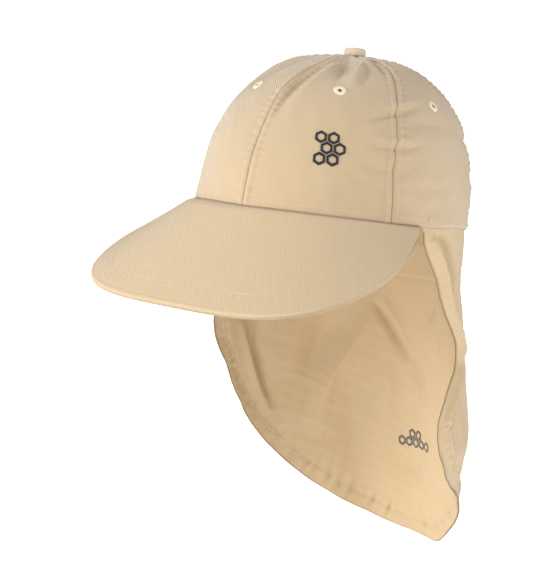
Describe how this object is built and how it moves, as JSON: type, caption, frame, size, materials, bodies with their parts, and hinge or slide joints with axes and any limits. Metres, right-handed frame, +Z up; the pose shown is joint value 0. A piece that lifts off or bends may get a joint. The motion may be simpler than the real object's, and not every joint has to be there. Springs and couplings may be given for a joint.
{
  "type": "cap with neck cape",
  "caption": "Six-panel cotton cap with a long stiff bill and a sewn-on neck cape that hangs behind and beside the neck.",
  "frame": {"origin": "centre of the head opening, at the crown's lower edge", "axes": "-Y forward over the bill, +X the wearer's left, +Z up"},
  "size_m": [0.2094, 0.2921, 0.393],
  "materials": {
    "crown_twill": "woven cotton twill, matte",
    "bill_twill": "woven cotton twill, matte",
    "cape_twill": "light woven cotton twill, matte",
    "tape": "plain weave tape",
    "sweatband": "plain weave band",
    "elastic": "knitted elastic",
    "thread_cream": "thread",
    "thread_dark": "embroidery thread",
    "metal": "pressed steel",
    "board": "moulded sheet",
    "label": "blank woven label"
  },
  "bodies": {
    "crown": {"crown_panel_front_left": "crown_twill", "crown_panel_front_right": "crown_twill", "crown_panel_side_left": "crown_twill", "crown_panel_side_right": "crown_twill", "crown_panel_back_left": "crown_twill", "crown_panel_back_right": "crown_twill", "seam_tape_centre": "tape", "seam_tape_left_front": "tape", "seam_tape_right_front": "tape", "sweatband": "sweatband", "rear_casing": "sweatband", "rear_elastic": "elastic", "eyelets": "thread_cream", "button_cover": "crown_twill", "button_core": "metal", "button_rivet": "metal", "visor_board": "board", "visor_top_cover": "bill_twill", "visor_under_cover": "bill_twill", "crown_motif": "thread_dark", "size_label": "label", "bartacks": "thread_cream", "cape_yoke": "cape_twill"},
    "cape": {"cape_back": "cape_twill", "cape_motif": "thread_dark"},
    "wing_left": {"cape_wing_left": "cape_twill"},
    "wing_right": {"cape_wing_right": "cape_twill"}
  },
  "joints": [
    {"name": "cape_lift", "type": "hinge", "parent": "crown", "child": "cape", "pos_m": [0, 0.10212, -0.02739], "axis": [1, 0, 0], "range_deg": [0, 14], "stiffness_Nm_per_rad": 0.8, "springref_deg": -1.72},
    {"name": "wing_left_open", "type": "hinge", "parent": "cape", "child": "wing_left", "pos_m": [0.0676, 0.06701, -0.14199], "axis": [0.0046, -0.0369, 0.9993], "range_deg": [-10, 18], "stiffness_Nm_per_rad": 0.1},
    {"name": "wing_right_open", "type": "hinge", "parent": "cape", "child": "wing_right", "pos_m": [-0.06755, 0.06701, -0.14199], "axis": [-0.0062, -0.0369, 0.9993], "range_deg": [-18, 10], "stiffness_Nm_per_rad": 0.1}
  ]
}
